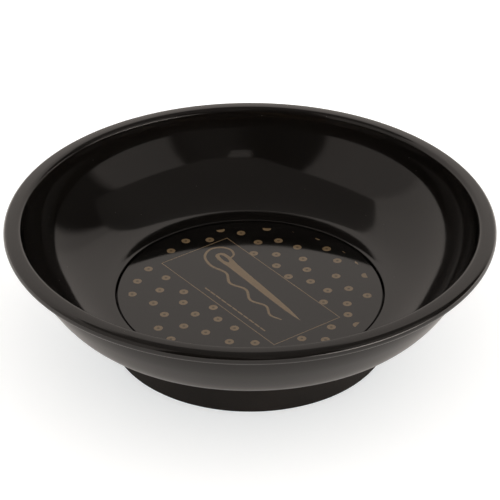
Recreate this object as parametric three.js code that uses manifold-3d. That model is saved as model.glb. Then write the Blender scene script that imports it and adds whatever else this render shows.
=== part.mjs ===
// Round magnetic parts tray: a pressed steel bowl with a rolled rim, a printed
// disc set into a shallow well in its floor, and a round plastic foot under it
// that holds a ring magnet. One screw through the middle of the bowl holds the
// foot on; the disc hides the screw and a rubber pad hides the nut.
// Millimetres, +Z up, origin at the centre of the pad's underside.
import * as THREE from "three";
import { mergeVertices } from "three/addons/utils/BufferGeometryUtils.js";
import Module from "manifold-3d";

const wasm = await Module();
wasm.setup();

// ---------------------------------------------------------------- dimensions
const RIM_R = 75; // outermost radius of the rolled rim (150 mm bowl)
const SHEET = 0.8; // thickness of the pressed steel, with its enamel
const SWELL = 1.0; // the lower wall is up to this much thicker
const BEAD_R = 1.75; // outside radius of the rolled edge
const BEAD_Z = 40.24; // height of the rolled edge's centre
const BEND_R = 1.5; // outside radius of the bend from wall to flange
const BEND = [70.96, 40.68]; // centre of that bend (r, z)
const CROWN_R = 14; // radius of the slightly crowned flange
const CROWN_LENGTH = 2.62; // its length along the sheet

const WELL_R = 41.8; // inside radius of the well
const WELL_Z = 13.9; // inside floor of the well
const LIP_R = 0.95; // radius of the lip round the well
const LIP_CORNER = [41.82, 15.5];
const DIMPLE_R = 6.8; // flat part of the centre dimple
const DIMPLE_TOP_R = 8.9;
const DIMPLE_Z = 11.6; // inside floor of the dimple
const HOLE_R = 2.75; // screw hole

// Inside of the bowl from the lip to the foot of the flange, (r, z).
const WALL = [
  [43.9, 15.56],
  [46.69, 15.81],
  [49.81, 16.46],
  [53.5, 17.79],
  [57.05, 19.78],
  [60.22, 22.22],
  [62.98, 25.02],
  [65.4, 28.22],
  [67.4, 31.8],
  [68.82, 35.55],
  [69.45, 39.4],
];

const DISC_R = 41.3; // printed floor disc
const DISC_TOP = 15.1;
const DISC_T = 1.0;
const ADHESIVE_R = [10.5, 40.6]; // ring of double-sided film under the disc
const ADHESIVE_Z = [WELL_Z + 0.02, DISC_TOP - DISC_T - 0.02];

const FOOT_R = 43.5; // foot at the table
const FOOT_TOP_R = 43.9; // foot just under the bowl
const FOOT_TOP_Z = 14.6;
const FOOT_BOTTOM_Z = 0.1;
const FOOT_WALL_IN_R = 40.9;
const REBATE_R = 43.1; // rebate that takes the bowl's well
const REBATE_Z = 12.9;
const FOOT_FLOOR = [1.3, 3.1]; // underside and top of the foot's floor
const PAD_RECESS_R = 38.3;
const BOSS_R = 8;
const BOSS_TOP = 10.65;
const BOSS_BORE_R = 2.75;
const NUT_POCKET_AF = 8.4; // across flats
const NUT_POCKET_TOP = 5.6;
const RIB_T = 1.6;
const RIB_R = 15.6;
const RIB_TOP = 10.2;

const PAD_R = 38;
const PAD_T = 1.2;

const MAGNET_R = [16, 40]; // ferrite ring
const MAGNET_Z = [4.9, 12.3];
const PLATE_R = [16, 39.8]; // steel plate under the ring
const PLATE_Z = [3.2, 4.8];
const CUSHION_R = [16.6, 39.4]; // foam ring over the magnet
const CUSHION_Z = [12.36, 13.04];

const HEAD_R = 4.6; // M5 low head screw
const HEAD_Z = [12.14, 13.74];
const SHANK_R = 2.45;
const SHANK_END_Z = 2.0;
const WASHER_R = [2.7, 5.4];
const WASHER_Z = [11.64, 12.1];
const NUT_AF = 8;
const NUT_Z = [1.65, 5.5];

const SEG_BIG = 56; // sides of the large turned pieces
const SEG_SMALL = 32;

// ---------------------------------------------------------------- materials
const finish = (color, roughness, metalness = 0) =>
  new THREE.MeshStandardMaterial({ color, roughness, metalness });
const enamel = finish(0x14120f, 0.12);
const print = finish(0x181613, 0.1);
const film = finish(0x9a9484, 0.7);
const zinc = finish(0xb9bcc0, 0.35, 1);
const ferrite = finish(0x2e2f31, 0.75);
const plateSteel = finish(0x8d9094, 0.45, 1);
const foam = finish(0x3b3b3d, 0.95);
const abs = finish(0x211e1b, 0.55);
const rubber = finish(0x161616, 0.85);

// ---------------------------------------------------------------- geometry helpers
// Points along an arc, angles in degrees, both ends included.
function arc(cx, cy, r, from, to, steps) {
  const out = [];
  for (let i = 0; i <= steps; i++) {
    const a = THREE.MathUtils.degToRad(from + ((to - from) * i) / steps);
    out.push([cx + r * Math.cos(a), cy + r * Math.sin(a)]);
  }
  return out;
}

// A polyline with its inner corners rounded: corners are [x, y, radius, steps].
function rounded(corners) {
  const out = [];
  corners.forEach(([x, y, r, steps], i) => {
    if (!r || i === 0 || i === corners.length - 1) {
      out.push([x, y]);
      return;
    }
    const p = new THREE.Vector2(x, y);
    const a = new THREE.Vector2(...corners[i - 1].slice(0, 2)).sub(p).normalize();
    const b = new THREE.Vector2(...corners[i + 1].slice(0, 2)).sub(p).normalize();
    const half = Math.acos(THREE.MathUtils.clamp(a.dot(b), -1, 1)) / 2;
    const cut = r / Math.tan(half);
    const mid = a.clone().add(b).normalize().multiplyScalar(r / Math.sin(half)).add(p);
    const s = a.clone().multiplyScalar(cut).add(p).sub(mid);
    const e = b.clone().multiplyScalar(cut).add(p).sub(mid);
    const start = Math.atan2(s.y, s.x);
    let sweep = Math.atan2(e.y, e.x) - start;
    if (sweep > Math.PI) sweep -= 2 * Math.PI;
    if (sweep < -Math.PI) sweep += 2 * Math.PI;
    for (let k = 0; k <= steps; k++) {
      const t = start + (sweep * k) / steps;
      out.push([mid.x + r * Math.cos(t), mid.y + r * Math.sin(t)]);
    }
  });
  return out;
}

// Thickness of the bowl at radius r of its top face.
function wallThickness(r) {
  const { smoothstep } = THREE.MathUtils;
  return SHEET + SWELL * smoothstep(r, 47.5, 57) * (1 - smoothstep(r, 58.5, 66.5));
}

// The closed section of a bent sheet: the line of its top face, and the same
// line set back by the sheet's thickness on its right-hand side.
function sheetSection(top, thickness) {
  const pts = top.map(([x, y]) => new THREE.Vector2(x, y));
  const back = pts.map((p, i) => {
    const before = i > 0 ? p.clone().sub(pts[i - 1]).normalize() : null;
    const after = i < pts.length - 1 ? pts[i + 1].clone().sub(p).normalize() : null;
    const along = (before ?? after).clone().add(after ?? before).normalize();
    const side = new THREE.Vector2(along.y, -along.x);
    const cosHalf = (before ?? after).dot(along);
    return p.clone().addScaledVector(side, thickness(p.x) / cosHalf);
  });
  return [...pts, ...back.reverse(), pts[0]];
}

// Six times the signed volume of a merged geometry.
function signedVolume(geometry) {
  const p = geometry.attributes.position;
  const index = geometry.index;
  const [a, b, c] = [new THREE.Vector3(), new THREE.Vector3(), new THREE.Vector3()];
  let v = 0;
  for (let i = 0; i < index.count; i += 3) {
    a.fromBufferAttribute(p, index.getX(i));
    b.fromBufferAttribute(p, index.getX(i + 1));
    c.fromBufferAttribute(p, index.getX(i + 2));
    v += a.dot(b.cross(c));
  }
  return v;
}

// Vertices merged and collapsed faces dropped, so that the mesh closes.
function closed(geometry) {
  const g = geometry.clone();
  g.deleteAttribute("normal");
  g.deleteAttribute("uv");
  const merged = mergeVertices(g, 1e-4);
  const keep = [];
  const index = merged.index;
  for (let i = 0; i < index.count; i += 3) {
    const [a, b, c] = [index.getX(i), index.getX(i + 1), index.getX(i + 2)];
    if (a !== b && b !== c && c !== a) keep.push(a, b, c);
  }
  merged.setIndex(keep);
  if (signedVolume(merged) < 0) {
    for (let i = 0; i < keep.length; i += 3)
      [keep[i + 1], keep[i + 2]] = [keep[i + 2], keep[i + 1]];
    merged.setIndex(keep);
  }
  return merged;
}

// A profile of (r, z) turned about the Z axis.
function turned(profile, segments) {
  const pts = profile.map((p) =>
    Array.isArray(p) ? new THREE.Vector2(p[0], p[1]) : p,
  );
  const g = new THREE.LatheGeometry(pts, segments);
  g.rotateX(Math.PI / 2);
  return closed(g);
}

// A flat ring, or a disc when the inner radius is 0, with chamfered outer edges.
function ring([inner, outer], [low, high], segments, chamfer = 0) {
  const c = chamfer;
  const outside = c
    ? [[outer - c, low], [outer, low + c], [outer, high - c], [outer - c, high]]
    : [[outer, low], [outer, high]];
  return turned([[inner, low], ...outside, [inner, high], ...(inner > 0 ? [[inner, low]] : [])], segments);
}

const toSolid = (g) =>
  new wasm.Manifold(
    new wasm.Mesh({
      numProp: 3,
      vertProperties: new Float32Array(g.attributes.position.array),
      triVerts: new Uint32Array(g.index.array),
    }),
  );

function toGeometry(solid) {
  const m = solid.getMesh();
  const v = new Float32Array(m.numVert * 3);
  for (let i = 0; i < m.numVert; i++)
    v.set(m.vertProperties.subarray(i * m.numProp, i * m.numProp + 3), i * 3);
  const g = new THREE.BufferGeometry();
  g.setAttribute("position", new THREE.BufferAttribute(v, 3));
  g.setIndex(new THREE.BufferAttribute(new Uint32Array(m.triVerts), 1));
  return g;
}

// A six-sided prism, flats apart by af, standing from low to high.
function hexPrism(af, low, high) {
  const g = new THREE.CylinderGeometry(af / Math.sqrt(3), af / Math.sqrt(3), high - low, 6);
  g.rotateX(Math.PI / 2);
  g.translate(0, 0, (low + high) / 2);
  return toSolid(closed(g));
}

const tray = new THREE.Group();
tray.name = "magnetic_parts_tray";
function piece(name, geometry, material, parent = tray) {
  const g = geometry.clone();
  g.computeVertexNormals();
  const mesh = new THREE.Mesh(g, material);
  mesh.name = name;
  parent.add(mesh);
  return mesh;
}

// ---------------------------------------------------------------- bowl
// Top face of the sheet, from the screw hole out to the hidden end of the curl.
const crownEndAngle = THREE.MathUtils.radToDeg(CROWN_LENGTH / CROWN_R);
const crown = arc(BEND[0], BEND[1] + BEND_R - CROWN_R, CROWN_R, 90, 90 - crownEndAngle, 2);
const bead = arc(RIM_R - BEAD_R, BEAD_Z, BEAD_R, 90 - crownEndAngle, -165, 9);
const bend = arc(BEND[0], BEND[1], BEND_R, 178, 90, 4);
const bowlTop = [
  ...rounded([
    [HOLE_R, DIMPLE_Z],
    [DIMPLE_R, DIMPLE_Z, 1.2, 1],
    [DIMPLE_TOP_R, WELL_Z, 1.2, 1],
    [WELL_R, WELL_Z, 0.4, 1],
    [LIP_CORNER[0], LIP_CORNER[1], LIP_R, 3],
    WALL[0],
  ]),
  ...WALL.slice(1),
  ...bend,
  ...crown.slice(1),
  ...bead.slice(1),
];
piece("bowl_shell", turned(sheetSection(bowlTop, wallThickness), SEG_BIG), enamel);

// ---------------------------------------------------------------- disc in the well
piece("floor_disc", ring([0, DISC_R], [DISC_TOP - DISC_T, DISC_TOP], SEG_BIG, 0.15), print);
piece("disc_adhesive", ring(ADHESIVE_R, ADHESIVE_Z, SEG_BIG), film);

// ---------------------------------------------------------------- screw, washer, nut
const screwBody = turned(
  [
    [0, SHANK_END_Z],
    [SHANK_R - 0.5, SHANK_END_Z],
    [SHANK_R, SHANK_END_Z + 0.5],
    [SHANK_R, HEAD_Z[0]],
    [HEAD_R, HEAD_Z[0]],
    [HEAD_R, HEAD_Z[0] + 0.9],
    [HEAD_R - 0.35, HEAD_Z[1] - 0.3],
    [HEAD_R - 0.95, HEAD_Z[1]],
    [0, HEAD_Z[1]],
  ],
  SEG_SMALL,
);
piece(
  "centre_screw",
  toGeometry(toSolid(screwBody).subtract(hexPrism(3, HEAD_Z[1] - 1.1, HEAD_Z[1] + 1))),
  zinc,
);
piece("screw_washer", ring(WASHER_R, WASHER_Z, SEG_SMALL), zinc);
const nutBore = toSolid(ring([0, SHANK_R + 0.1], [NUT_Z[0] - 1, NUT_Z[1] + 1], SEG_SMALL));
piece("captive_nut", toGeometry(hexPrism(NUT_AF, ...NUT_Z).subtract(nutBore)), zinc);

// ---------------------------------------------------------------- magnet stack
piece("magnet_ring", ring(MAGNET_R, MAGNET_Z, SEG_SMALL, 0.6), ferrite);
piece("backing_plate", ring(PLATE_R, PLATE_Z, SEG_SMALL, 0.2), plateSteel);
piece("magnet_cushion", ring(CUSHION_R, CUSHION_Z, SEG_SMALL), foam);

// ---------------------------------------------------------------- foot
// Cup with a floor, a rebate at the top edge for the bowl, and a centre boss.
const footCup = toSolid(
  turned(
    [
      [0, FOOT_FLOOR[0]],
      [PAD_RECESS_R, FOOT_FLOOR[0]],
      [PAD_RECESS_R, FOOT_BOTTOM_Z],
      [FOOT_R - 0.5, FOOT_BOTTOM_Z],
      [FOOT_R, FOOT_BOTTOM_Z + 0.5],
      [FOOT_TOP_R, FOOT_TOP_Z - 0.3],
      [FOOT_TOP_R - 0.3, FOOT_TOP_Z],
      [REBATE_R, FOOT_TOP_Z],
      [REBATE_R, REBATE_Z],
      [FOOT_WALL_IN_R, REBATE_Z],
      [FOOT_WALL_IN_R, FOOT_FLOOR[1]],
      [BOSS_R, FOOT_FLOOR[1]],
      [BOSS_R, BOSS_TOP],
      [0, BOSS_TOP],
    ],
    SEG_BIG,
  ),
);
// Four ribs from the boss locate the magnet ring.
function rib(turn) {
  const s = new THREE.Shape();
  s.moveTo(BOSS_R - 1, FOOT_FLOOR[1] - 0.5);
  s.lineTo(RIB_R, FOOT_FLOOR[1] - 0.5);
  s.lineTo(RIB_R, RIB_TOP - 1);
  s.lineTo(RIB_R - 1, RIB_TOP);
  s.lineTo(BOSS_R - 1, RIB_TOP);
  s.closePath();
  const g = new THREE.ExtrudeGeometry(s, { depth: RIB_T, bevelEnabled: false });
  g.translate(0, 0, -RIB_T / 2);
  g.rotateX(Math.PI / 2);
  g.rotateZ(turn);
  return toSolid(closed(g));
}
let foot = footCup;
for (let i = 0; i < 4; i++) foot = foot.add(rib(((2 * i + 1) * Math.PI) / 4));
foot = foot
  .subtract(toSolid(ring([0, BOSS_BORE_R], [-1, BOSS_TOP + 1], SEG_SMALL)))
  .subtract(hexPrism(NUT_POCKET_AF, -1, NUT_POCKET_TOP));
piece("foot_housing", toGeometry(foot), abs);

piece("foot_pad", ring([0, PAD_R], [0, PAD_T], SEG_BIG, 0.3), rubber);

export default tray;
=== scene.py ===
# Looks for a round magnetic parts tray: gloss black pressed bowl, printed disc, matte foot.
import math

import bmesh
import bpy
import numpy as np
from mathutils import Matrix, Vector, geometry


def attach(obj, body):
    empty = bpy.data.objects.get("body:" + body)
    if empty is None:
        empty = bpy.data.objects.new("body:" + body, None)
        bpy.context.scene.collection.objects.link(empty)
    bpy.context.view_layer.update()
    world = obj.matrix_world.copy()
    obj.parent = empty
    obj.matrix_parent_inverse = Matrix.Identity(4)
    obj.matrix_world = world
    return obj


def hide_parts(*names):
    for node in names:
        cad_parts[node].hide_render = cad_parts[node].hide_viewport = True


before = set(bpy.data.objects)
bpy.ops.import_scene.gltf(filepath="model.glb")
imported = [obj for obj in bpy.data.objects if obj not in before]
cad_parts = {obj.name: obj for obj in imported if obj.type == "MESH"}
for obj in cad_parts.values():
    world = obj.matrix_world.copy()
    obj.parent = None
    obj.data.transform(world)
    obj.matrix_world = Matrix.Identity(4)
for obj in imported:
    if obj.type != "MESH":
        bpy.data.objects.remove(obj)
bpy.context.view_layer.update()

MM = 0.001

# ------------------------------------------------------------------ sizes, millimetres
SHEET = 0.8
RIM_R, BEAD_R, BEAD_Z = 75.0, 1.75, 40.24
BEND, BEND_R = (70.96, 40.68), 1.5
CROWN_R, CROWN_LENGTH = 14.0, 2.62
WELL_R, WELL_Z = 41.8, 13.9
LIP_CORNER, LIP_R = (41.82, 15.5), 0.95
DISC_R, DISC_TOP, DISC_T = 41.3, 15.1, 1.0
PRINT_R = 37.8
# slope of the bowl's inner wall in degrees, at even steps along its 39.88 mm
WALL_START, WALL_LENGTH = (42.0, 15.52), 39.88
WALL_SLOPES = [0.2, 2.2, 5.1, 8.5, 12.5, 16.6, 20.0, 23.6, 27.8, 31.8, 35.1, 38.3, 41.5, 44.8, 48.0, 51.2, 54.4, 57.6,
               60.9, 64.1, 67.6, 71.6, 76.3, 81.5, 87.0]
SWELL = 1.0  # the lower wall is up to this much thicker than the sheet


# ------------------------------------------------------------------ profiles
def arc(cx, cy, r, a0, a1, n):
    a = np.radians(np.linspace(a0, a1, n + 1))
    return [(cx + r * math.cos(t), cy + r * math.sin(t)) for t in a]


def from_slopes(start, length, slopes, n):
    """A smooth line given by its slope at even steps along it."""
    k = np.linspace(0, len(slopes) - 1, n)
    i = np.clip(k.astype(int), 0, len(slopes) - 2)
    f = k - i
    p = np.array([2 * slopes[0] - slopes[1], *slopes, 2 * slopes[-1] - slopes[-2]], float)
    a, b, c, d = p[i], p[i + 1], p[i + 2], p[i + 3]
    s = np.radians(0.5 * (2 * b + (c - a) * f + (2 * a - 5 * b + 4 * c - d) * f ** 2 + (3 * b - a - 3 * c + d) * f ** 3))
    h = length / (n - 1)
    step = np.c_[np.cos(s), np.sin(s)]
    line = np.vstack([[0, 0], np.cumsum((step[1:] + step[:-1]) / 2 * h, axis=0)]) + np.array(start)
    return [tuple(q) for q in line]


def rounded(corners):
    """A polyline with its corners rounded: (x, y) or (x, y, radius, steps)."""
    out = []
    for i, c in enumerate(corners):
        if i in (0, len(corners) - 1) or len(c) < 3 or c[2] <= 0:
            out.append((c[0], c[1]))
            continue
        x, y, r, n = c
        p = np.array((x, y))
        a = np.array(corners[i - 1][:2]) - p
        b = np.array(corners[i + 1][:2]) - p
        a, b = a / np.linalg.norm(a), b / np.linalg.norm(b)
        half = math.acos(max(-1, min(1, float(a @ b)))) / 2
        cut = r / math.tan(half)
        m = (a + b) / np.linalg.norm(a + b)
        mid = p + m * r / math.sin(half)
        s, e = p + a * cut - mid, p + b * cut - mid
        start = math.atan2(s[1], s[0])
        sweep = math.atan2(e[1], e[0]) - start
        sweep = (sweep + math.pi) % (2 * math.pi) - math.pi
        for k in range(n + 1):
            t = start + sweep * k / n
            out.append((mid[0] + r * math.cos(t), mid[1] + r * math.sin(t)))
    return out


def set_back(line, thickness):
    """The line moved to its right-hand side by thickness(r)."""
    p = np.array(line, float)
    d = np.diff(p, axis=0)
    d /= np.linalg.norm(d, axis=1)[:, None]
    before, after = np.vstack([d[:1], d]), np.vstack([d, d[-1:]])
    along = before + after
    along /= np.linalg.norm(along, axis=1)[:, None]
    side = np.c_[along[:, 1], -along[:, 0]]
    t = np.array([thickness(r) for r in p[:, 0]])
    return [tuple(q) for q in p + side * (t / (before * along).sum(1))[:, None]]


# ------------------------------------------------------------------ meshes
def finish_mesh(name, bm, angle=32):
    bmesh.ops.remove_doubles(bm, verts=bm.verts, dist=1e-7)
    bmesh.ops.recalc_face_normals(bm, faces=bm.faces)
    me = bpy.data.meshes.new(name)
    bm.to_mesh(me)
    bm.free()
    me.shade_smooth()
    me.set_sharp_from_angle(angle=math.radians(angle))
    o = bpy.data.objects.new(name, me)
    bpy.context.scene.collection.objects.link(o)
    return o


def turn_into(bm, profile, segments):
    """A closed body turned from a profile of (r, z) in mm. The profile closes on itself, or starts and ends on the axis."""
    pts = [tuple(p) for p in profile]
    loop = pts[0][0] > 1e-9
    if loop and math.dist(pts[0], pts[-1]) < 1e-9:
        pts = pts[:-1]
    rings = []
    for r, z in pts:
        if r < 1e-9:
            rings.append([bm.verts.new((0, 0, z * MM))])
        else:
            rings.append([bm.verts.new((r * MM * math.cos(t), r * MM * math.sin(t), z * MM))
                          for t in (2 * math.pi * k / segments for k in range(segments))])
    pairs = list(zip(rings, rings[1:])) + ([(rings[-1], rings[0])] if loop else [])
    for a, b in pairs:
        for k in range(segments):
            j = (k + 1) % segments
            f = [a[k % len(a)], a[j % len(a)], b[j % len(b)], b[k % len(b)]]
            f = list(dict.fromkeys(f))
            if len(f) > 2:
                bm.faces.new(f)


def turned(name, profile, segments=192, angle=32):
    bm = bmesh.new()
    turn_into(bm, profile, segments)
    return finish_mesh(name, bm, angle)


def ring(name, inner, outer, low, high, fillet=0.3, segments=128, steps=4):
    """A flat ring, or a disc when inner is 0, with rounded edges."""
    c = [(outer, low, fillet, steps), (outer, high, fillet, steps)]
    if inner > 0:
        f = min(fillet, 0.3)
        mid = (inner + outer) / 2
        pts = rounded([(mid, low), *c, (inner, high, f, steps), (inner, low, f, steps), (mid, low)])
    else:
        pts = rounded([(0, low), *c, (0, high)])
    return turned(name, pts, segments)


def settle(piece, node, material):
    for m in material if isinstance(material, (list, tuple)) else [material]:
        piece.data.materials.append(m)
    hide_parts(node)
    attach(piece, "root")
    return piece


# ------------------------------------------------------------------ material kit
class Shader:
    def __init__(self, name):
        self.material = bpy.data.materials.new(name)
        self.material.use_nodes = True
        self.tree = self.material.node_tree
        self.bsdf = self.tree.nodes["Principled BSDF"]
        self.place = self.node("ShaderNodeTexCoord").outputs["Object"]

    def node(self, kind, **settings):
        n = self.tree.nodes.new(kind)
        for k, v in settings.items():
            setattr(n, k, v)
        return n

    def put(self, socket, value):
        if isinstance(value, bpy.types.NodeSocket):
            self.tree.links.new(value, socket)
        else:
            socket.default_value = value

    def set(self, **values):
        for k, v in values.items():
            self.put(self.bsdf.inputs[k.replace("_", " ")], v)

    def math(self, op, a, b=None, c=None, clamp=False):
        n = self.node("ShaderNodeMath", operation=op, use_clamp=clamp)
        for i, v in enumerate((a, b, c)):
            if v is not None:
                self.put(n.inputs[i], v)
        return n.outputs[0]

    def combine(self, x, y, z):
        n = self.node("ShaderNodeCombineXYZ")
        for s, v in zip(n.inputs, (x, y, z)):
            self.put(s, v)
        return n.outputs[0]

    def scaled(self, vector, factors):
        n = self.node("ShaderNodeVectorMath", operation="MULTIPLY")
        self.put(n.inputs[0], vector)
        n.inputs[1].default_value = factors
        return n.outputs[0]

    def noise(self, vector, scale, detail=3.0, roughness=0.5, distortion=0.0):
        n = self.node("ShaderNodeTexNoise")
        self.put(n.inputs["Vector"], vector)
        n.inputs["Scale"].default_value = scale
        n.inputs["Detail"].default_value = detail
        n.inputs["Roughness"].default_value = roughness
        n.inputs["Distortion"].default_value = distortion
        return n.outputs["Fac"]

    def cells(self, vector, scale, feature="F1", output="Distance", randomness=1.0):
        n = self.node("ShaderNodeTexVoronoi", feature=feature)
        self.put(n.inputs["Vector"], vector)
        n.inputs["Scale"].default_value = scale
        n.inputs["Randomness"].default_value = randomness
        return n.outputs[output]

    def ramp(self, value, lo, hi, out_lo=0.0, out_hi=1.0, smooth=False):
        n = self.node("ShaderNodeMapRange", interpolation_type="SMOOTHSTEP" if smooth else "LINEAR")
        self.put(n.inputs[0], value)
        for i, v in enumerate((lo, hi, out_lo, out_hi)):
            n.inputs[i + 1].default_value = v
        return n.outputs[0]

    def mix(self, factor, a, b):
        n = self.node("ShaderNodeMix", data_type="RGBA")
        self.put(n.inputs[0], factor)
        self.put(n.inputs[6], a if isinstance(a, bpy.types.NodeSocket) else (*a, 1))
        self.put(n.inputs[7], b if isinstance(b, bpy.types.NodeSocket) else (*b, 1))
        return n.outputs[2]

    def bump(self, height, distance, normal=None, strength=1.0):
        n = self.node("ShaderNodeBump")
        n.inputs["Strength"].default_value = strength
        n.inputs["Distance"].default_value = distance
        self.put(n.inputs["Height"], height)
        if normal is not None:
            self.put(n.inputs["Normal"], normal)
        return n.outputs[0]

    def polar(self):
        """Object-space radius, height, and the cosine and sine of the angle round the Z axis."""
        s = self.node("ShaderNodeSeparateXYZ")
        self.put(s.inputs[0], self.place)
        x, y, z = s.outputs
        r = self.math("SQRT", self.math("ADD", self.math("MULTIPLY", x, x), self.math("MULTIPLY", y, y)))
        safe = self.math("MAXIMUM", r, 1e-5)
        return r, z, self.math("DIVIDE", x, safe), self.math("DIVIDE", y, safe)


def fine_lines(s, r, z, cos, sin, along, turns):
    """Fine lines that run round the axis, broken up along their length."""
    run = s.math("ADD", r, z)
    return s.noise(s.combine(s.math("MULTIPLY", run, along), s.math("MULTIPLY", cos, turns),
                             s.math("MULTIPLY", sin, turns)), 1.0, 2.0, 0.6)


def enamel_material():
    """Gloss black stove enamel on pressed steel: faint orange peel, faint pressing marks, hair scratches and a few dust specks."""
    s = Shader("gloss_black_enamel")
    r, z, cos, sin = s.polar()
    cloud = s.noise(s.place, 28.0, 3.0)
    press = fine_lines(s, r, z, cos, sin, 1400.0, 2.2)
    fine = fine_lines(s, r, z, cos, sin, 6200.0, 5.0)
    hairs_a = s.noise(s.scaled(s.place, (5200.0, 90.0, 300.0)), 1.0, 1.0)
    hairs_b = s.noise(s.scaled(s.place, (160.0, 4600.0, 260.0)), 1.0, 1.0)
    hairs = s.math("MAXIMUM", s.ramp(hairs_a, 0.72, 0.76), s.ramp(hairs_b, 0.73, 0.77))
    speck = s.ramp(s.cells(s.place, 420.0), 0.045, 0.03)
    some = s.math("GREATER_THAN", s.noise(s.place, 95.0, 0.0), 0.6)
    dust = s.math("MULTIPLY", speck, some)
    tint = s.mix(s.ramp(cloud, 0.35, 0.65), (0.0022, 0.0019, 0.0016), (0.0032, 0.0027, 0.0023))
    s.set(Base_Color=s.mix(s.math("MULTIPLY", dust, 0.5), tint, (0.16, 0.15, 0.14)))
    rough = s.math("ADD", s.ramp(cloud, 0.3, 0.7, 0.055, 0.085), s.ramp(press, 0.45, 0.7, 0.0, 0.035))
    rough = s.math("ADD", rough, s.math("MULTIPLY", hairs, 0.10))
    s.set(Roughness=s.math("ADD", rough, s.math("MULTIPLY", dust, 0.5), clamp=True))
    peel = s.noise(s.place, 330.0, 2.0, 0.4)
    normal = s.bump(peel, 0.0000045)
    normal = s.bump(press, 0.0000022, normal)
    normal = s.bump(fine, 0.0000004, normal)
    s.set(Normal=normal, IOR=1.5)
    return s.material


def disc_material(name, ink=None):
    """The disc's face: gloss varnish over black card, or over tan ink."""
    s = Shader(name)
    cloud = s.noise(s.place, 60.0, 2.0)
    hairs_a = s.noise(s.scaled(s.place, (4200.0, 60.0, 10.0)), 1.0, 1.0)
    hairs_b = s.noise(s.scaled(s.place, (90.0, 5200.0, 10.0)), 1.0, 1.0)
    hairs = s.math("MAXIMUM", s.ramp(hairs_a, 0.73, 0.76), s.ramp(hairs_b, 0.73, 0.76))
    if ink:
        grain = s.noise(s.place, 5200.0, 2.0, 0.7)
        s.set(Base_Color=s.mix(s.ramp(grain, 0.3, 0.7), tuple(c * 0.82 for c in ink), tuple(c * 1.16 for c in ink)))
        extra = s.ramp(grain, 0.4, 0.8, 0.0, 0.03)
    else:
        s.set(Base_Color=s.mix(s.ramp(cloud, 0.3, 0.7), (0.0028, 0.0026, 0.0023), (0.0040, 0.0037, 0.0033)))
        extra = 0.0
    rough = s.math("ADD", s.ramp(cloud, 0.3, 0.7, 0.04, 0.065), s.math("MULTIPLY", hairs, 0.09))
    s.set(Roughness=s.math("ADD", rough, extra, clamp=True))
    s.set(Normal=s.bump(s.noise(s.place, 210.0, 2.0, 0.4), 0.000003), IOR=1.5)
    return s.material


def moulded_material(name, dark, light, roughness, grain_scale, grain_depth, ior=1.5):
    """Moulded plastic or rubber with a fine spark-eroded grain."""
    s = Shader(name)
    cloud = s.noise(s.place, 45.0, 3.0)
    grain = s.noise(s.place, grain_scale, 3.0, 0.6)
    pits = s.cells(s.place, grain_scale * 0.6)
    s.set(Base_Color=s.mix(s.ramp(cloud, 0.3, 0.7), dark, light))
    s.set(Roughness=s.math("ADD", s.ramp(grain, 0.3, 0.7, roughness - 0.06, roughness + 0.06),
                           s.ramp(cloud, 0.3, 0.7, -0.03, 0.03), clamp=True))
    s.set(Normal=s.bump(pits, grain_depth * 0.5, s.bump(grain, grain_depth)), IOR=ior)
    return s.material


def metal_material(name, dark, light, roughness, line_scale, round_axis=True):
    """Plated or rolled steel with fine machining lines."""
    s = Shader(name)
    r, z, cos, sin = s.polar()
    lines = fine_lines(s, r, z, cos, sin, line_scale, 3.0) if round_axis else s.noise(s.scaled(s.place, (60.0, line_scale, 60.0)), 1.0, 2.0)
    cloud = s.noise(s.place, 180.0, 3.0)
    s.set(Base_Color=s.mix(s.ramp(cloud, 0.3, 0.7), dark, light), Metallic=1.0)
    s.set(Roughness=s.math("ADD", s.ramp(lines, 0.3, 0.7, roughness - 0.08, roughness + 0.08), s.ramp(cloud, 0.3, 0.7, -0.04, 0.04), clamp=True))
    s.set(Normal=s.bump(lines, 0.000004))
    return s.material


enamel = enamel_material()
INK = (0.150, 0.108, 0.062)
disc_black = disc_material("disc_gloss_black")
disc_ink = disc_material("disc_tan_ink", INK)
disc_ink_dark = disc_material("disc_dark_tan_ink", tuple(c * 0.42 for c in INK))
foot_plastic = moulded_material("foot_black_plastic", (0.0050, 0.0041, 0.0034), (0.0078, 0.0062, 0.0051), 0.55, 2600.0, 0.000022, 1.31)
foot_rubber = moulded_material("foot_black_rubber", (0.010, 0.010, 0.010), (0.016, 0.016, 0.0155), 0.72, 1500.0, 0.00003)
foam = moulded_material("grey_foam", (0.035, 0.035, 0.038), (0.055, 0.055, 0.058), 0.9, 1900.0, 0.00012)
ferrite = moulded_material("sintered_ferrite", (0.026, 0.026, 0.028), (0.040, 0.040, 0.042), 0.62, 1100.0, 0.00002)
film = moulded_material("adhesive_film", (0.28, 0.26, 0.20), (0.36, 0.33, 0.26), 0.55, 800.0, 0.000015)
zinc = metal_material("zinc_plate", (0.50, 0.51, 0.53), (0.64, 0.65, 0.66), 0.30, 2200.0)
plate_steel = metal_material("rolled_steel", (0.40, 0.41, 0.43), (0.52, 0.53, 0.54), 0.38, 3600.0, False)

# ------------------------------------------------------------------ bowl
crown_end = 90 - math.degrees(CROWN_LENGTH / CROWN_R)
wall = [p for p in from_slopes(WALL_START, WALL_LENGTH, WALL_SLOPES, 97) if p[0] > 43.2]


def smoothstep(x, lo, hi):
    t = min(max((x - lo) / (hi - lo), 0), 1)
    return t * t * (3 - 2 * t)


def wall_thickness(r):
    return SHEET + SWELL * smoothstep(r, 47.5, 57) * (1 - smoothstep(r, 58.5, 66.5))


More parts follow.
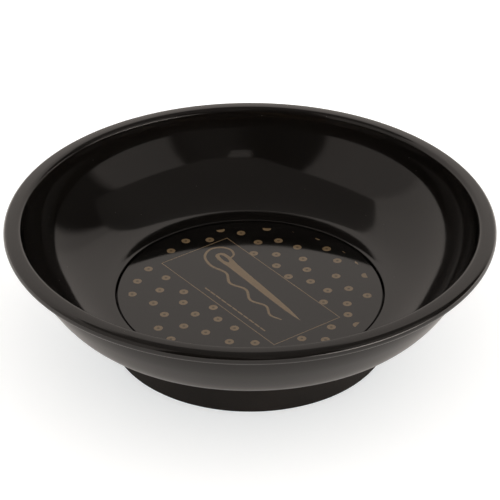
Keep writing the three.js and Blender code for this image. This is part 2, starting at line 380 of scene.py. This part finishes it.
def top_line(lip_r):
    """The top face of the sheet, from the screw hole out to the hidden end of the curl."""
    return (
        rounded([(2.75, 11.6), (6.8, 11.6, 1.2, 5), (8.9, WELL_Z, 1.2, 5), (WELL_R, WELL_Z, 0.4, 5),
                 (*LIP_CORNER, lip_r, 10), wall[0]])
        + wall[1:]
        + arc(*BEND, BEND_R, 178, 90, 14)
        + arc(BEND[0], BEND[1] + BEND_R - CROWN_R, CROWN_R, 90, crown_end, 8)[1:]
        + arc(RIM_R - BEAD_R, BEAD_Z, BEAD_R, crown_end, -165, 30)[1:]
    )


section = top_line(0.3) + set_back(top_line(LIP_R), wall_thickness)[::-1]
bowl = turned("bowl", section + section[:1], 320)
settle(bowl, "bowl_shell", enamel)

# ------------------------------------------------------------------ printed disc
DOTS = [(-2.9, 34.4), (5.5, 37.2), (-20.7, 29.5), (-13.0, 30.2), (2.6, 28.7), (9.2, 29.7), (15.2, 25.7), (24.6, 24.7),
        (-25.3, 23.5), (1.2, 22.0), (8.4, 21.3), (16.9, 18.6), (27.8, 17.6), (8.4, 14.6), (18.0, 12.3), (12.1, 8.2),
        (19.0, 5.4), (27.1, 8.5), (36.4, 8.9), (24.2, 0.2), (30.8, 1.3), (36.4, -2.7), (22.7, -6.4), (30.0, -7.3),
        (30.0, -13.4), (24.7, -20.2), (15.6, -26.4), (-32.1, 12.7), (-35.3, 5.5), (-26.4, 7.5), (-28.1, 0.4),
        (-20.6, -0.6), (-29.8, -7.0), (-20.6, -6.6), (-11.3, -9.4), (-26.2, -13.3), (-16.8, -13.1), (-9.8, -15.9),
        (-27.8, -20.8), (-20.1, -19.7), (-4.7, -20.8), (-13.4, -23.1), (-6.2, -28.1), (1.5, -28.7),
        (-9.6, 36.3), (-36.6, -1.9), (31.0, 23.5), (34.7, 16.7), (32.6, -19.0), (-23.8, -26.7), (22.7, -27.0),
        (14.5, 36.3), (22.5, 31.5)]
DOT_R, DOT_EYE_R = 1.38, 0.45
BOX_CORNERS = [(-7.4, 31.5), (-28.2, 16.1), (7.2, -29.9), (27.6, -14.9)]
BOX_LINE = 0.27


def circle(cx, cy, r, n):
    return [(cx + r * math.cos(2 * math.pi * k / n), cy + r * math.sin(2 * math.pi * k / n)) for k in range(n)]


def clipped(poly, limit):
    """A convex outline cut by the circle of the printed area."""
    out = []
    n = len(poly)
    for i in range(n):
        a, b = np.array(poly[i]), np.array(poly[(i + 1) % n])
        ina, inb = np.hypot(*a) <= limit, np.hypot(*b) <= limit
        if ina:
            out.append(tuple(a))
        if ina != inb:
            lo, hi = (a, b) if ina else (b, a)
            for _ in range(30):
                m = (lo + hi) / 2
                if np.hypot(*m) <= limit:
                    lo = m
                else:
                    hi = m
            out.append(tuple(lo))
    return out


def inset(poly, d):
    """A convex counter-clockwise outline moved inwards by d."""
    p = np.array(poly)
    n = len(p)
    out = []
    for i in range(n):
        a, b, c = p[i - 1], p[i], p[(i + 1) % n]
        u, v = (b - a) / np.linalg.norm(b - a), (c - b) / np.linalg.norm(c - b)
        nu, nv = np.array((-u[1], u[0])), np.array((-v[1], v[0]))
        m = (nu + nv) / np.linalg.norm(nu + nv)
        out.append(tuple(b + m * d / float(m @ nu)))
    return out


def ribbon(line, width, taper=0.0):
    """The outline of a stroke along a line, with round ends."""
    p = np.array(line, float)
    d = np.gradient(p, axis=0)
    d /= np.linalg.norm(d, axis=1)[:, None]
    side = np.c_[-d[:, 1], d[:, 0]]
    s = np.linspace(0, 1, len(p))
    w = width / 2 * (1 - taper * (np.abs(2 * s - 1) ** 4))
    left, right = p + side * w[:, None], p - side * w[:, None]
    a1 = math.atan2(d[-1][1], d[-1][0])
    a0 = math.atan2(d[0][1], d[0][0])
    tip = [tuple(p[-1] + w[-1] * np.array((math.cos(a1 + t), math.sin(a1 + t)))) for t in np.linspace(math.pi / 2, -math.pi / 2, 9)[1:-1]]
    tail = [tuple(p[0] + w[0] * np.array((math.cos(a0 + t), math.sin(a0 + t)))) for t in np.linspace(-math.pi / 2, -3 * math.pi / 2, 9)[1:-1]]
    return [tuple(q) for q in left] + tip + [tuple(q) for q in right[::-1]] + tail


BOX_MID = np.mean(np.array(BOX_CORNERS), axis=0)
U = np.array(BOX_CORNERS[2]) - np.array(BOX_CORNERS[1])
U /= np.linalg.norm(U)
V = np.array((-U[1], U[0]))


def on_box(pts, turn=0.0, at=(0, 0)):
    """Points given along (u) and across (v) the printed rectangle."""
    c, s = math.cos(turn), math.sin(turn)
    return [tuple(BOX_MID + (at[0] + u * c - v * s) * U + (at[1] + u * s + v * c) * V) for u, v in pts]


# A plain needle, its thread leaving the eye and trailing loosely beside it, and a row of stitches.
needle_turn, needle_at = math.radians(-4), (0.0, 3.4)
half = [(-23.0, 0.0), (-22.8, 0.95), (-22.0, 1.70), (-20.2, 2.05), (-17.5, 1.95), (-14.0, 1.60), (-6.0, 1.35), (2.0, 1.22),
        (10.0, 1.05), (16.0, 0.80), (20.5, 0.42), (23.5, 0.0)]
needle = on_box(half + [(u, -v) for u, v in half[-2:0:-1]], needle_turn, needle_at)
eye = on_box([(-19.2 + 2.6 * math.cos(t), 0.80 * math.sin(t)) for t in np.linspace(0, 2 * math.pi, 33)[:-1]], needle_turn, needle_at)
knots = [(-18.4, 1.2), (-19.4, 3.6), (-22.4, 4.6), (-25.4, 3.0), (-26.4, -0.8), (-23.6, -4.6), (-18.0, -5.8), (-11.8, -4.2),
         (-6.2, -6.4), (-0.4, -4.3), (5.4, -6.4), (10.8, -4.3), (15.6, -6.0), (19.6, -4.6)]


def through(points, steps=9):
    """A smooth line through the points (Catmull-Rom)."""
    p = [points[0]] + points + [points[-1]]
    line = []
    for a, b, c, d in zip(p, p[1:], p[2:], p[3:]):
        for k in range(steps):
            t = k / steps
            line.append(tuple(0.5 * (2 * b[i] + (c[i] - a[i]) * t + (2 * a[i] - 5 * b[i] + 4 * c[i] - d[i]) * t * t
                                     + (3 * b[i] - a[i] - 3 * c[i] + d[i]) * t ** 3) for i in (0, 1)))
    return line + [points[-1]]


thread = ribbon(on_box(through(knots), needle_turn, needle_at), 0.85, 0.4)
stitches = [ribbon(on_box([(u - 1.0, -10.3), (u - 0.3, -10.3), (u + 0.3, -10.3), (u + 1.0, -10.3)]), 0.5)
            for u in np.linspace(-8.0, 20.0, 11)]

outlines = []  # (priority, material index, points)
for x, y in DOTS:
    spot = clipped(circle(x, y, DOT_R, 40), PRINT_R)
    if len(spot) > 5:
        outlines.append((1, 1, spot))
        if math.hypot(x, y) + DOT_EYE_R < PRINT_R:
            outlines.append((2, 2, circle(x, y, DOT_EYE_R, 16)))
box_outer = BOX_CORNERS
area = sum(a[0] * b[1] - b[0] * a[1] for a, b in zip(box_outer, box_outer[1:] + box_outer[:1]))
if area < 0:
    box_outer = box_outer[::-1]
box_inner = inset(box_outer, BOX_LINE)
outlines += [(3, 1, thread), (4, 1, needle), (5, 0, eye)] + [(3, 1, s) for s in stitches]


def inside(points, poly):
    x, y = points[:, 0], points[:, 1]
    p = np.array(poly)
    q = np.roll(p, -1, axis=0)
    hit = np.zeros(len(points), bool)
    for (x0, y0), (x1, y1) in zip(p, q):
        if y0 == y1:
            continue
        cross = ((y0 > y) != (y1 > y)) & (x < (x1 - x0) * (y - y0) / (y1 - y0) + x0)
        hit ^= cross
    return hit


def printed_disc():
    rim_n, flat_r = 256, DISC_R - 0.22
    loops = [circle(0, 0, flat_r, rim_n), circle(0, 0, 39.4, 192)] + [o[2] for o in outlines] + [box_outer, box_inner]
    co, edges = [], []
    for loop in loops:
        base = len(co)
        co += [Vector(p) for p in loop]
        edges += [(base + i, base + (i + 1) % len(loop)) for i in range(len(loop))]
    verts, _, faces, *_ = geometry.delaunay_2d_cdt(co, edges, [], 0, 1e-6)
    pts = np.array([tuple(v) for v in verts])
    tri = [f for f in faces if len(f) == 3]
    mid = np.array([pts[list(f)].mean(0) for f in tri])
    index = np.zeros(len(tri), int)
    line = inside(mid, box_outer) & ~inside(mid, box_inner)
    index[line] = 1
    for _, m, poly in sorted(outlines, key=lambda o: o[0]):
        index[inside(mid, poly)] = m
    bm = bmesh.new()
    bv = [bm.verts.new((x * MM, y * MM, DISC_TOP * MM)) for x, y in pts]
    for f, m in zip(tri, index):
        face = bm.faces.new([bv[i] for i in f])
        face.material_index = int(m)
    # rounded edge, side and underside
    edge = rounded([(flat_r, DISC_TOP), (DISC_R, DISC_TOP, 0.2, 6), (DISC_R, DISC_TOP - DISC_T, 0.12, 3), (flat_r, DISC_TOP - DISC_T)])
    rings = [[bm.verts.new((r * MM * math.cos(t), r * MM * math.sin(t), z * MM))
              for t in (2 * math.pi * k / rim_n for k in range(rim_n))] for r, z in edge]
    for a, b in zip(rings, rings[1:]):
        for k in range(rim_n):
            j = (k + 1) % rim_n
            bm.faces.new([a[k], b[k], b[j], a[j]])
    under = bm.verts.new((0, 0, (DISC_TOP - DISC_T) * MM))
    for k in range(rim_n):
        bm.faces.new([rings[-1][k], under, rings[-1][(k + 1) % rim_n]])
    return finish_mesh("printed_disc", bm)


disc = printed_disc()
settle(disc, "floor_disc", [disc_black, disc_ink, disc_ink_dark])
settle(ring("disc_film", 10.5, 40.6, 13.92, 14.08, 0.03, 128, 1), "disc_adhesive", film)

# ------------------------------------------------------------------ foot
foot_profile = rounded([
    (8.0, 3.1), (8.0, 10.65, 0.4, 4), (2.75, 10.65), (2.75, 5.6), (4.85, 5.6), (4.85, 1.3), (38.3, 1.3, 0.2, 3),
    (38.3, 0.1, 0.2, 3), (43.5, 0.1, 0.5, 6), (43.9, 14.6, 0.28, 5), (43.1, 14.6, 0.15, 3), (43.1, 12.9),
    (40.9, 12.9, 0.2, 3), (40.9, 3.1, 0.6, 5), (8.0, 3.1)])
foot = turned("foot_cup", foot_profile, 256)
settle(foot, "foot_housing", foot_plastic)
settle(ring("foot_pad_rubber", 0, 38.0, 0.0, 1.2, 0.3, 192), "foot_pad", foot_rubber)

# ------------------------------------------------------------------ inside the foot
settle(ring("ring_magnet", 16.0, 40.0, 4.9, 12.3, 0.5), "magnet_ring", ferrite)
settle(ring("steel_plate", 16.0, 39.8, 3.2, 4.8, 0.2), "backing_plate", plate_steel)
settle(ring("foam_ring", 16.6, 39.4, 12.36, 13.04, 0.15), "magnet_cushion", foam)
settle(ring("washer", 2.7, 5.4, 11.64, 12.1, 0.1, 96), "screw_washer", zinc)
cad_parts["centre_screw"].data.materials.clear()
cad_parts["centre_screw"].data.materials.append(zinc)
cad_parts["captive_nut"].data.materials.clear()
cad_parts["captive_nut"].data.materials.append(zinc)

# ------------------------------------------------------------------ studio
floor_mesh = bpy.data.meshes.new("floor")
bm = bmesh.new()
bmesh.ops.create_circle(bm, cap_ends=True, segments=96, radius=4.0)
bm.to_mesh(floor_mesh)
bm.free()
floor = bpy.data.objects.new("floor", floor_mesh)
floor.location.z = -0.00008
bpy.context.scene.collection.objects.link(floor)
fs = Shader("white_sweep")
sweep_r = fs.polar()[0]
# painted shade: the ground's colour is darker near the bowl and lightens from 0.08 m to 0.24 m out, with a faint random
# mottle on top
fs.set(Base_Color=fs.mix(fs.math("ADD", fs.ramp(sweep_r, 0.08, 0.24, 0.0, 0.92), fs.ramp(fs.noise(fs.place, 3.0), 0.3, 0.7, 0.0, 0.08)),
                         (0.71, 0.725, 0.735), (0.955, 0.97, 0.98)), Roughness=0.8)
fs.bsdf.inputs["Specular IOR Level"].default_value = 0.2
floor_mesh.materials.append(fs.material)
# painted light: the sweep glows for camera rays only, so that it reads as an evenly white ground
sweep = fs.material.node_tree
painted_glow, add, seen_by = (sweep.nodes.new(k) for k in ("ShaderNodeEmission", "ShaderNodeAddShader", "ShaderNodeLightPath"))
painted_glow.inputs["Color"].default_value = (0.87, 0.95, 1.0, 1)
boost = sweep.nodes.new("ShaderNodeMath")
boost.operation = "MULTIPLY"
boost.inputs[1].default_value = 0.42
sweep.links.new(seen_by.outputs["Is Camera Ray"], boost.inputs[0])
sweep.links.new(boost.outputs[0], painted_glow.inputs["Strength"])
sweep.links.new(fs.bsdf.outputs[0], add.inputs[0])
sweep.links.new(painted_glow.outputs[0], add.inputs[1])
out_node = next(n for n in sweep.nodes if n.type == "OUTPUT_MATERIAL")
sweep.links.new(add.outputs[0], out_node.inputs["Surface"])

scene = bpy.context.scene
world = bpy.data.worlds.new("studio")
scene.world = world
world.use_nodes = True
wt = world.node_tree
wt.nodes.clear()


def wnode(kind, **settings):
    n = wt.nodes.new(kind)
    for k, v in settings.items():
        setattr(n, k, v)
    return n


def wput(socket, value):
    if isinstance(value, bpy.types.NodeSocket):
        wt.links.new(value, socket)
    else:
        socket.default_value = value


def wmath(op, a, b=None, c=None, clamp=False):
    n = wnode("ShaderNodeMath", operation=op, use_clamp=clamp)
    for i, v in enumerate((a, b, c)):
        if v is not None:
            wput(n.inputs[i], v)
    return n.outputs[0]


def wstep(value, lo, hi, out_lo=0.0, out_hi=1.0):
    n = wnode("ShaderNodeMapRange", interpolation_type="SMOOTHSTEP")
    wput(n.inputs[0], value)
    for i, v in enumerate((lo, hi, out_lo, out_hi)):
        n.inputs[i + 1].default_value = v
    return n.outputs[0]


def wmix(f, a, b):
    n = wnode("ShaderNodeMix", data_type="FLOAT")
    wput(n.inputs[0], f)
    wput(n.inputs[2], a)
    wput(n.inputs[3], b)
    return n.outputs[0]


LOW_BAND, LOW_GAIN = (0.035, 0.055), 20.0
FILL_LOW, FILL_HIGH = 3.3, 0.5
# A light tent: bright cloth walls, a dim cloth roof, and an open, dark front.
direction = wnode("ShaderNodeSeparateXYZ")
wput(direction.inputs[0], wnode("ShaderNodeTexCoord").outputs["Generated"])
dx, dy, dz = direction.outputs
up = wmath("MAXIMUM", dz, 0.02)
gu, gv = wmath("DIVIDE", dx, up), wmath("DIVIDE", dy, up)
ROOF = [(-0.195, 0.913), (-0.895, 0.116), (-0.12, -0.962), (0.485, -0.978), (1.766, 0.276)]
edges = []
for p, q in zip(ROOF, ROOF[1:] + ROOF[:1]):
    ex, ey = q[0] - p[0], q[1] - p[1]
    n = math.hypot(ex, ey)
    # (ex, ey) x (gu - px, gv - py) / n
    edges.append(wmath("ADD", wmath("MULTIPLY", gv, ex / n), wmath("SUBTRACT", (ey * p[0] - ex * p[1]) / n, wmath("MULTIPLY", gu, ey / n))))
roof_depth = edges[0]
for e in edges[1:]:
    roof_depth = wmath("MINIMUM", roof_depth, e)
roof = wstep(roof_depth, -0.012, 0.012)

azimuth = wmath("ADD", wmath("DIVIDE", wmath("ARCTAN2", dy, dx), 2 * math.pi), 0.5)  # 0 at -X, 0.25 at -Y, 0.5 at +X, 0.75 at +Y
ramp = wnode("ShaderNodeValToRGB")
ramp.color_ramp.interpolation = "LINEAR"
stops = [(-180, 0.50), (-150, 0.51), (-131, 0.48), (-127.5, 0.05), (-100, 0.03), (-88, 0.045), (-80, 0.10),
         (-60, 0.09), (-51, 0.05), (-47, 0.47), (-30, 0.50), (-6, 0.50), (0, 0.07), (33, 0.05), (38.5, 0.60), (46, 0.62), (50, 0.76),
         (62, 0.80), (90, 0.74), (120, 0.77), (150, 0.80), (173, 0.74), (178, 0.50), (180, 0.50)]
cr = ramp.color_ramp
while len(cr.elements) > 1:
    cr.elements.remove(cr.elements[-1])
cr.elements[0].position = 0.0
cr.elements[0].color = (stops[0][1],) * 3 + (1,)
for a, v in stops[1:]:
    e = cr.elements.new((a + 180) / 360)
    e.color = (v, v, v, 1)
wput(ramp.inputs[0], azimuth)
walls = ramp.outputs[0]
# the roof darkens towards its right-hand back edge
edge_dim = wmath("MULTIPLY", wstep(edges[4], 0.0, 0.55, 1.0, 0.0), wstep(gu, 0.1, 0.6))
roof_value = wmath("SUBTRACT", 0.188, wmath("MULTIPLY", edge_dim, 0.05))
level = wmix(roof, walls, roof_value)
# a small bright gap over the open front
patch = wmath("MULTIPLY", wmath("MULTIPLY", wstep(gu, -0.03, 0.0), wstep(gu, 0.24, 0.27, 1.0, 0.0)),
              wmath("MULTIPLY", wstep(gv, -1.40, -1.37), wstep(gv, -1.02, -0.99, 1.0, 0.0)))
level = wmix(patch, level, 0.45)
# a bright band low down, at the edge of the sweep
low = wnode("ShaderNodeValToRGB")
low_stops = [(-180, 0), (-68, 0), (-58, 0.7), (-45, 1.0), (-25, 0.9), (-12, 0.45), (-4, 0.12), (4, 0.16), (14, 0.34), (26, 0.28), (36, 0.1), (46, 0), (180, 0)]
lc = low.color_ramp
while len(lc.elements) > 1:
    lc.elements.remove(lc.elements[-1])
lc.elements[0].position, lc.elements[0].color = 0.0, (0, 0, 0, 1)
for a, v in low_stops[1:]:
    e = lc.elements.new((a + 180) / 360)
    e.color = (v, v, v, 1)
wput(low.inputs[0], azimuth)
band = wstep(dz, LOW_BAND[0], LOW_BAND[1], 1.0, 0.0)
level = wmath("MAXIMUM", level, wmath("MULTIPLY", wmath("MULTIPLY", low.outputs[0], LOW_GAIN), band))
# what lights dull surfaces: mostly the cloth low down all round, a little stronger from the front right
side = wmath("ADD", 1.0, wmath("SUBTRACT", wmath("MULTIPLY", dx, 0.10), wmath("MULTIPLY", dy, 0.10)))
dull = wmath("MULTIPLY", side, wmath("ADD", FILL_HIGH, wstep(dz, 0.30, 0.62, FILL_LOW - FILL_HIGH, 0.0)))
path = wnode("ShaderNodeLightPath")
level = wmix(path.outputs["Is Diffuse Ray"], level, dull)

tint = wnode("ShaderNodeVectorMath", operation="SCALE")
tint.inputs[0].default_value = (1.10, 1.0, 0.925)
wput(tint.inputs["Scale"], level)
light_rays = wnode("ShaderNodeBackground")
wput(light_rays.inputs["Color"], tint.outputs[0])
light_rays.inputs["Strength"].default_value = 1.0
seen = wnode("ShaderNodeBackground")
seen.inputs["Color"].default_value = (1, 1, 1, 1)
seen.inputs["Strength"].default_value = 1.0
pick = wnode("ShaderNodeMixShader")
wput(pick.inputs[0], path.outputs["Is Camera Ray"])
wt.links.new(light_rays.outputs[0], pick.inputs[1])
wt.links.new(seen.outputs[0], pick.inputs[2])
wt.links.new(pick.outputs[0], wnode("ShaderNodeOutputWorld").inputs[0])
world.cycles.sampling_method = "NONE"


def softbox(name, at, size, watts, glossy=False):
    data = bpy.data.lights.new(name, "AREA")
    data.shape = "SQUARE"
    data.size = size
    data.energy = watts
    o = bpy.data.objects.new(name, data)
    o.location = at
    o.rotation_euler = (-Vector(at)).to_track_quat("-Z", "Y").to_euler()
    o.visible_glossy = glossy
    scene.collection.objects.link(o)
    return o


softbox("overhead", (0.25, -0.15, 1.6), 1.6, 2.0)


# ------------------------------------------------------------------ camera
camera_data = bpy.data.cameras.new("camera")
camera_data.sensor_width = 36.0
camera_data.lens = 2193.09 * 36.0 / 500.0
camera_data.clip_start = 0.01
camera_data.clip_end = 50.0
camera = bpy.data.objects.new("camera", camera_data)
elevation = math.radians(31.921)
aim = Vector((0.0, 0.0, 0.03005))
camera.location = aim + 0.675 * Vector((0.0, -math.cos(elevation), math.sin(elevation)))
camera.rotation_euler = (aim - camera.location).to_track_quat("-Z", "Y").to_euler()
scene.collection.objects.link(camera)
scene.camera = camera
scene.view_settings.view_transform = "Standard"
scene.view_settings.look = "None"
